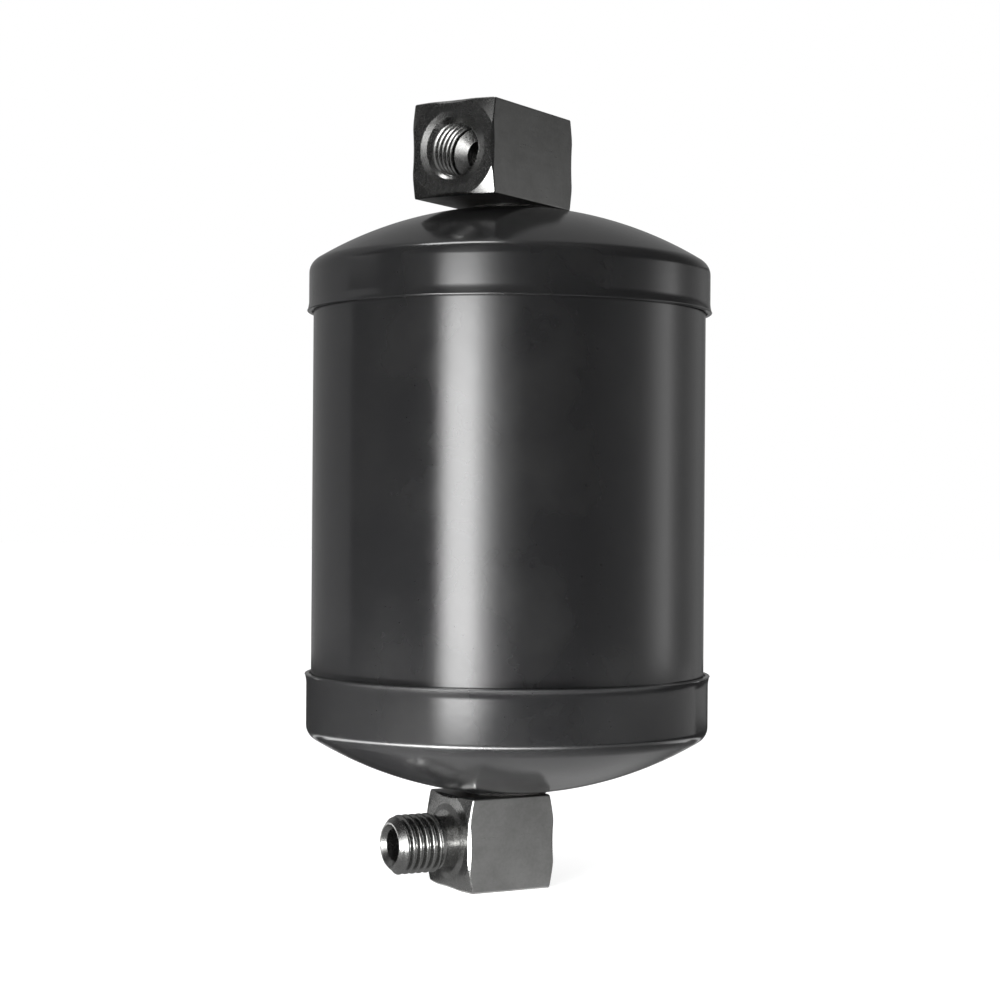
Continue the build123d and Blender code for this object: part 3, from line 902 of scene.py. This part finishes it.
def make_world(studio):
    """White backdrop, and a dimmer room for diffuse light."""
    world = bpy.data.worlds.new("backdrop")
    world.use_nodes = True
    bpy.context.scene.world = world
    nodes = Nodes(world.node_tree)
    background = world.node_tree.nodes["Background"]
    background.inputs["Color"].default_value = (1.0, 1.0, 1.0, 1.0)
    level = nodes.ramp(seen_ray(nodes), 0.0, 1.0, studio.room_level, studio.back_level)
    nodes.tree.links.new(level, background.inputs["Strength"])


def make_floor(studio):
    """Pale floor that keeps a soft shadow."""
    reach = FLOOR_REACH
    corners = [(-reach, -reach, 0), (reach, -reach, 0), (reach, reach, 0), (-reach, reach, 0)]
    mesh = bpy.data.meshes.new("floor")
    mesh.from_pydata(corners, [], [(0, 1, 2, 3)])
    floor = new_piece("floor", mesh)
    material = bpy.data.materials.new("floor_white")
    material.use_nodes = True
    tree = material.node_tree
    tree.nodes.clear()
    nodes = Nodes(tree)
    glow = nodes.ramp(seen_ray(nodes), 0.0, 1.0, 0.0, studio.floor_glow)
    emission = nodes.add("ShaderNodeEmission", {"Strength": glow}).outputs[0]
    matt = nodes.add("ShaderNodeBsdfDiffuse", {"Color": (*studio.floor_colour, 1.0)}).outputs[0]
    both = nodes.add("ShaderNodeAddShader", {0: emission, 1: matt}).outputs[0]
    nodes.add("ShaderNodeOutputMaterial", {"Surface": both})
    mesh.materials.append(material)


def studio_point(studio, turn, distance, height):
    """Point round the can; turn is from the camera's direction, to the right."""
    way = studio.camera_turn + turn
    return Vector((distance * math.sin(way), -distance * math.cos(way), height))


def make_card(studio, name, levels, profile, shiny_only=False):
    """Curved card round the can, hidden from the camera.

    levels are (degrees, radiance) knots round the can from the camera's direction, and
    profile is (distance, height, share) knots along the card's section.
    """
    turns, radiances = zip(*levels)
    steps = max(2, round((turns[-1] - turns[0]) / CARD_STEP))
    points, glows = [], []
    for degrees in np.linspace(turns[0], turns[-1], steps + 1):
        for distance, height, part in profile:
            points.append(studio_point(studio, math.radians(degrees), distance, height))
            glows.append(part * float(np.interp(degrees, turns, radiances)))
    rows = len(profile)
    faces = [(rows * k + j, rows * (k + 1) + j, rows * (k + 1) + j + 1, rows * k + j + 1)
             for k in range(steps) for j in range(rows - 1)]
    mesh = bpy.data.meshes.new(name)
    mesh.from_pydata(points, [], faces)
    mesh.attributes.new("glow", "FLOAT", "POINT").data.foreach_set("value", glows)
    card = new_piece(name, mesh)
    mesh.materials.append(card_material())
    card.visible_camera = False
    if shiny_only:
        card.visible_diffuse = False
        card.visible_shadow = False


def make_cards(studio):
    """Cards that draw the light and dark bands on the paint and the steel."""
    key = studio.key_level
    # Tall key light on the left that fades towards its top.
    make_card(studio, "key_box",
              [(-40, 0), (-36, 0.35 * key), (-32, 0.9 * key), (-28, key), (-20, 1.05 * key),
               (-13, 0.42 * key), (-6, 0.10 * key), (4, 0.02 * key), (10, 0)],
              [(0.42, 0, 1), (0.42, 0.175, 1), (0.42, 0.21, 0.5), (0.42, 0.24, 0.24),
               (0.42, 0.27, 0.08), (0.41, 0.45, 0.05), (0.38, 0.62, 0.05)])
    # Low strip in front, for the knuckle of the lower cap.
    make_card(studio, "low_strip",
              [(-110, 3), (-90, 6), (-60, 16), (-46, 30), (-30, 52), (-18, 42), (-4, 24),
               (12, 11), (30, 2), (45, 0.8), (75, 0.8), (90, 2), (110, 2)],
              [(0.115, 0.001, 1), (0.115, 0.014, 1)])
    # Two weaker strips on the right.
    make_card(studio, "right_strip", [(35, 0.2), (50, 0.55), (120, 0.55)],
              [(0.2, 0.02, 1), (0.2, 0.05, 1)])
    make_card(studio, "side_strip",
              [(45, 0.08), (60, 0.25), (70, 0.38), (78, 0.55), (84, 0.95), (91, 1.6),
               (98, 1.9), (106, 0.7), (114, 0.4), (135, 0.4), (155, 0.15)],
              [(0.45, 0, 1), (0.45, 0.22, 1), (0.45, 0.25, 0.12)])
    # The rest are seen only in reflections.
    make_card(studio, "corner_card", [(-104, 0.5), (-78, 0.5)],
              [(0.88, 0.28, 1), (0.88, 0.5, 1)], shiny_only=True)
    make_card(studio, "front_flag", [(-100, 0.05), (60, 0.05), (84, 0.1)],
              [(0.9, 0, 1), (0.9, 0.8, 1), (0.6, 1.3, 3), (0.05, 1.5, 6)], shiny_only=True)
    make_card(studio, "back_flag",
              [(84, 0.12), (120, 0.13), (150, 0.3), (210, 0.3), (260, 0.35)],
              [(0.9, 0, 1), (0.9, 0.5, 1), (0.6, 1.2, 1), (0.05, 1.5, 1)], shiny_only=True)
    make_card(studio, "floor_flag", [(-180, 0.06), (180, 0.06)],
              [(0.17, 0.001, 1), (0.9, 0.001, 1)], shiny_only=True)
    make_card(studio, "near_floor",
              [(-180, 0.3), (-150, 0.06), (-95, 0.06), (-80, 0.35), (30, 0.65), (110, 0.65),
               (180, 0.3)],
              [(0.012, 0.0005, 1), (0.05, 0.0005, 0.9), (0.09, 0.0005, 0.4),
               (0.15, 0.0005, 0.2)], shiny_only=True)


def card_material():
    """Light given off by a card, read from its own glow values."""
    name = "card_glow"
    if name in bpy.data.materials:
        return bpy.data.materials[name]
    material = bpy.data.materials.new(name)
    material.use_nodes = True
    material.node_tree.nodes.clear()
    nodes = Nodes(material.node_tree)
    glow = nodes.add("ShaderNodeAttribute", attribute_name="glow").outputs["Fac"]
    light = nodes.add("ShaderNodeEmission", {"Strength": glow}).outputs[0]
    nodes.add("ShaderNodeOutputMaterial", {"Surface": light})
    return material


def make_lamp(studio, name, turn, distance, height, width, tall, level):
    """Rectangular lamp facing the can, given its radiance."""
    data = bpy.data.lights.new(name, "AREA")
    data.shape = "RECTANGLE"
    data.size = width
    data.size_y = tall
    data.energy = level * math.pi * width * tall
    lamp = bpy.data.objects.new(name, data)
    bpy.context.scene.collection.objects.link(lamp)
    lamp.location = studio_point(studio, math.radians(turn), distance, height)
    aim = LAMP_AIM - lamp.location
    lamp.rotation_euler = aim.to_track_quat("-Z", "Y").to_euler()
    lamp.visible_camera = False


def make_camera(studio):
    """Nearly level camera in front of the can, turned towards the outlet's side."""
    turn = studio.camera_turn
    right = Vector((math.cos(turn), math.sin(turn), 0))
    ahead = Vector((-math.sin(turn), math.cos(turn), 0))
    up = Vector((0, 0, 1))
    yaw, pitch, roll = studio.camera_yaw, studio.camera_pitch, studio.camera_roll
    right, ahead = (right * math.cos(yaw) - ahead * math.sin(yaw),
                    right * math.sin(yaw) + ahead * math.cos(yaw))
    ahead, up = (ahead * math.cos(pitch) + up * math.sin(pitch),
                 up * math.cos(pitch) - ahead * math.sin(pitch))
    right, up = (right * math.cos(roll) + up * math.sin(roll),
                 up * math.cos(roll) - right * math.sin(roll))
    data = bpy.data.cameras.new("camera")
    data.sensor_width = 36.0
    data.lens = studio.lens
    camera = bpy.data.objects.new("camera", data)
    bpy.context.scene.collection.objects.link(camera)
    facing = Matrix((right, up, -ahead)).transposed().to_4x4()
    place = studio_point(studio, 0.0, studio.camera_distance, studio.camera_height)
    camera.matrix_world = Matrix.Translation(place) @ facing
    bpy.context.scene.camera = camera


# ---- Operators -------------------------------------------------------------------------
class DRIER_OT_can(bpy.types.Operator):
    """Make the shell, the two caps and the seam brazes"""
    bl_idname = "drier.can"
    bl_label = "Can"

    def execute(self, context):
        sizes = context.scene.drier_can
        paint = black_paint()
        pieces = {
            "shell": make_shell(sizes),
            "upper_cap": make_cap(sizes, "can_upper_cap", sizes.upper_skirt, UPPER_LIP, True),
            "lower_cap": make_cap(sizes, "can_lower_cap", sizes.lower_skirt, LOWER_LIP, False),
            "upper_seam_braze": make_seam(sizes, "can_upper_seam", UPPER_LIP, True),
            "lower_seam_braze": make_seam(sizes, "can_lower_seam", LOWER_LIP, False),
        }
        for node, piece in pieces.items():
            piece.data.materials.append(paint)
            hand_over(piece, "black_paint", node)
        return {"FINISHED"}


class DRIER_OT_inlet(bpy.types.Operator):
    """Make the square inlet fitting with its threaded port"""
    bl_idname = "drier.inlet"
    bl_label = "Inlet Fitting"

    def execute(self, context):
        sizes, port = context.scene.drier_fitting, context.scene.drier_inlet
        thread = context.scene.drier_thread
        cut = {"Surface": port.bore_radius, "Depth": thread.female_depth, "Side": -1.0,
               "Start": port.reach - port.depth + thread.fade / 2,
               "End": port.reach - port.recess_depth}
        piece = make_fitting("inlet", sizes, thread, port, inlet_front(sizes, port, thread),
                             cut, PORT_TURN, INLET_HIGH.z - sizes.half_width, False)
        hand_over(piece, "bare_steel", "inlet_block")
        return {"FINISHED"}


class DRIER_OT_outlet(bpy.types.Operator):
    """Make the square outlet fitting with its threaded stub"""
    bl_idname = "drier.outlet"
    bl_label = "Outlet Fitting"

    def execute(self, context):
        sizes, stub = context.scene.drier_fitting, context.scene.drier_outlet
        thread = context.scene.drier_thread
        cut = {"Surface": stub.stub_radius, "Depth": thread.male_depth, "Side": 1.0,
               "Start": stub.reach + stub.collar_foot,
               "End": stub.reach + stub.stub_length + thread.fade}
        piece = make_fitting("outlet", sizes, thread, stub, outlet_front(stub, thread), cut,
                             PORT_TURN - stub.turn, sizes.half_width, True)
        hand_over(piece, "bare_steel", "outlet_block")
        return {"FINISHED"}


class DRIER_OT_inner_parts(bpy.types.Operator):
    """Give the brazes and the parts inside the can their finishes"""
    bl_idname = "drier.inner_parts"
    bl_label = "Inner Parts"

    def execute(self, context):
        dress(braze_metal(), "inlet_braze", "outlet_braze")
        dress(plated_steel(), "support_ring", "lower_perforated_plate",
              "upper_perforated_plate", "strainer_collar")
        dress(wire_cloth(), "lower_screen", "upper_screen", "strainer_mesh")
        dress(glass_felt(), "lower_felt_pad", "upper_felt_pad")
        dress(bead_bed(), "desiccant_bed")
        dress(spring_steel(), "bed_spring")
        return {"FINISHED"}


class DRIER_OT_studio(bpy.types.Operator):
    """Make the floor, the backdrop, the cards, the lamp and the camera"""
    bl_idname = "drier.studio"
    bl_label = "Studio"

    def execute(self, context):
        studio = context.scene.drier_studio
        context.scene.view_settings.view_transform = "Standard"
        make_world(studio)
        make_floor(studio)
        make_camera(studio)
        make_cards(studio)
        make_lamp(studio, "top_box", turn=-90, distance=0.165, height=0.75, width=0.12,
                  tall=0.25, level=12.0)
        return {"FINISHED"}


class DRIER_PT_panel(bpy.types.Panel):
    """Sizes, finishes and buttons of the filter drier"""
    bl_idname = "DRIER_PT_panel"
    bl_label = "Filter Drier"
    bl_space_type = "VIEW_3D"
    bl_region_type = "UI"
    bl_category = "Drier"

    def draw(self, context):
        for operator in OPERATORS:
            self.layout.operator(operator.bl_idname)
        for name, (group, _) in SETTINGS.items():
            box = self.layout.box()
            box.label(text=group.__doc__)
            for label in group.__annotations__:
                box.prop(getattr(context.scene, name), label)


SETTINGS = {
    "drier_can": (CanSizes, "Can"),
    "drier_fitting": (FittingSizes, "Fittings"),
    "drier_inlet": (InletSizes, "Inlet"),
    "drier_outlet": (OutletSizes, "Outlet"),
    "drier_thread": (ThreadSizes, "Threads"),
    "drier_finishes": (Finishes, "Finishes"),
    "drier_studio": (StudioSettings, "Studio"),
}
OPERATORS = (DRIER_OT_can, DRIER_OT_inlet, DRIER_OT_outlet, DRIER_OT_inner_parts,
             DRIER_OT_studio)


def register():
    for name, (group, label) in SETTINGS.items():
        bpy.utils.register_class(group)
        setattr(bpy.types.Scene, name, PointerProperty(type=group, name=label))
    for operator in OPERATORS:
        bpy.utils.register_class(operator)
    bpy.utils.register_class(DRIER_PT_panel)


def unregister():
    bpy.utils.unregister_class(DRIER_PT_panel)
    for operator in reversed(OPERATORS):
        bpy.utils.unregister_class(operator)
    for name, (group, _) in reversed(SETTINGS.items()):
        delattr(bpy.types.Scene, name)
        bpy.utils.unregister_class(group)


def main():
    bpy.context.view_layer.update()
    register()
    bpy.ops.drier.can()
    bpy.ops.drier.inlet()
    bpy.ops.drier.outlet()
    bpy.ops.drier.inner_parts()
    bpy.ops.drier.studio()


if __name__ == "__main__":
    main()
